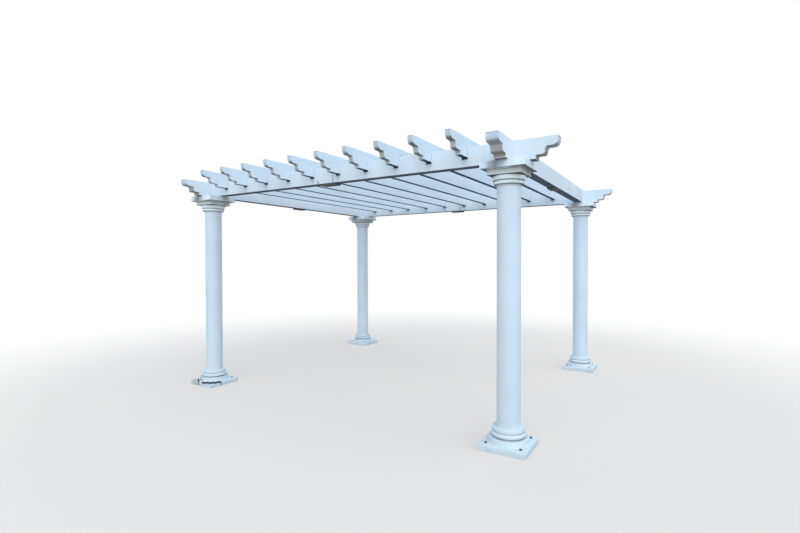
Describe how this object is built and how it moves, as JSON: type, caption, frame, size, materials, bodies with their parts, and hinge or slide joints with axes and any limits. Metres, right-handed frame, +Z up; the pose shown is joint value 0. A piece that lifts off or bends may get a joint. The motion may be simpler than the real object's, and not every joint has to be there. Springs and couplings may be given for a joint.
{
  "type": "pergola",
  "caption": "Free-standing garden pergola: round columns with turned bases and capitals carry scroll-ended beams and an open roof of scroll-ended rafters.",
  "frame": {"origin": "on the ground, midway between the four columns", "axes": "+X along the two long beams, +Y along the rafters, +Z up"},
  "size_m": [4.548, 3.906, 2.5471],
  "materials": {
    "column_shaft": "white coated fibreglass tube, satin, with a faint dusty film",
    "moulded_base": "white moulded base, satin, soiled near the ground",
    "moulded_capital": "white moulded capital, satin",
    "beam_skin": "white extruded vinyl, low gloss, faint lengthwise drawing lines",
    "rafter_skin": "white extruded vinyl, low gloss",
    "splice_plate": "off-white painted plate"
  },
  "bodies": {
    "root": {"front_left_plinth": "moulded_base", "front_left_base_turning": "moulded_base", "front_left_shaft": "column_shaft", "front_left_capital_turning": "moulded_capital", "front_left_bed_mould": "moulded_capital", "front_left_abacus": "moulded_capital", "front_right_plinth": "moulded_base", "front_right_base_turning": "moulded_base", "front_right_shaft": "column_shaft", "front_right_capital_turning": "moulded_capital", "front_right_bed_mould": "moulded_capital", "front_right_abacus": "moulded_capital", "back_left_plinth": "moulded_base", "back_left_base_turning": "moulded_base", "back_left_shaft": "column_shaft", "back_left_capital_turning": "moulded_capital", "back_left_bed_mould": "moulded_capital", "back_left_abacus": "moulded_capital", "back_right_plinth": "moulded_base", "back_right_base_turning": "moulded_base", "back_right_shaft": "column_shaft", "back_right_capital_turning": "moulded_capital", "back_right_bed_mould": "moulded_capital", "back_right_abacus": "moulded_capital", "front_beam_left_length": "beam_skin", "front_beam_right_length": "beam_skin", "front_splice_plate": "splice_plate", "back_beam_left_length": "beam_skin", "back_beam_right_length": "beam_skin", "back_splice_plate": "splice_plate", "left_end_beam": "beam_skin", "left_splice_plate": "splice_plate", "right_end_beam": "beam_skin", "right_splice_plate": "splice_plate", "rafter_01": "rafter_skin", "rafter_02": "rafter_skin", "rafter_03": "rafter_skin", "rafter_04": "rafter_skin", "rafter_05": "rafter_skin", "rafter_06": "rafter_skin", "rafter_07": "rafter_skin", "rafter_08": "rafter_skin", "rafter_09": "rafter_skin", "rafter_10": "rafter_skin"}
  },
  "joints": []
}
